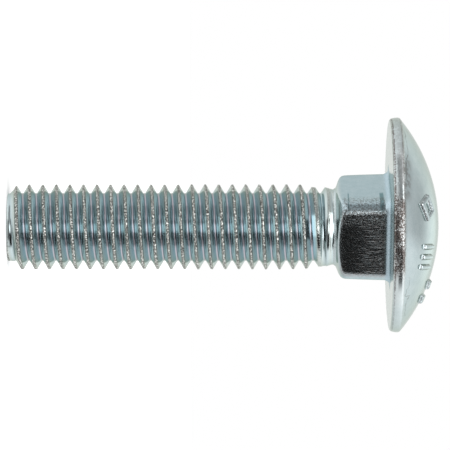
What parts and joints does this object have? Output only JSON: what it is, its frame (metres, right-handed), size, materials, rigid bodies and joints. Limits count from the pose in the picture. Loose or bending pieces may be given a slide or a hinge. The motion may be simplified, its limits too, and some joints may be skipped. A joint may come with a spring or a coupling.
{
  "type": "carriage bolt",
  "caption": "Zinc-plated steel carriage bolt with a low domed head, a square neck that stops it turning in the work, and a coarse right-hand thread up to near the neck.",
  "frame": {"origin": "centre of the flat bearing face under the head, on the axis of the shank", "axes": "+Z along the axis out of the dome, so the thread points down and the bolt stands on the flat end of its thread; the flats of the square neck face +X, -X, +Y and -Y"},
  "size_m": [0.0198, 0.0198, 0.0398],
  "materials": {
    "zinc_plated_steel": "satin pale blue-grey zinc plating"
  },
  "bodies": {
    "root": {"carriage_bolt": "zinc_plated_steel"}
  },
  "joints": []
}
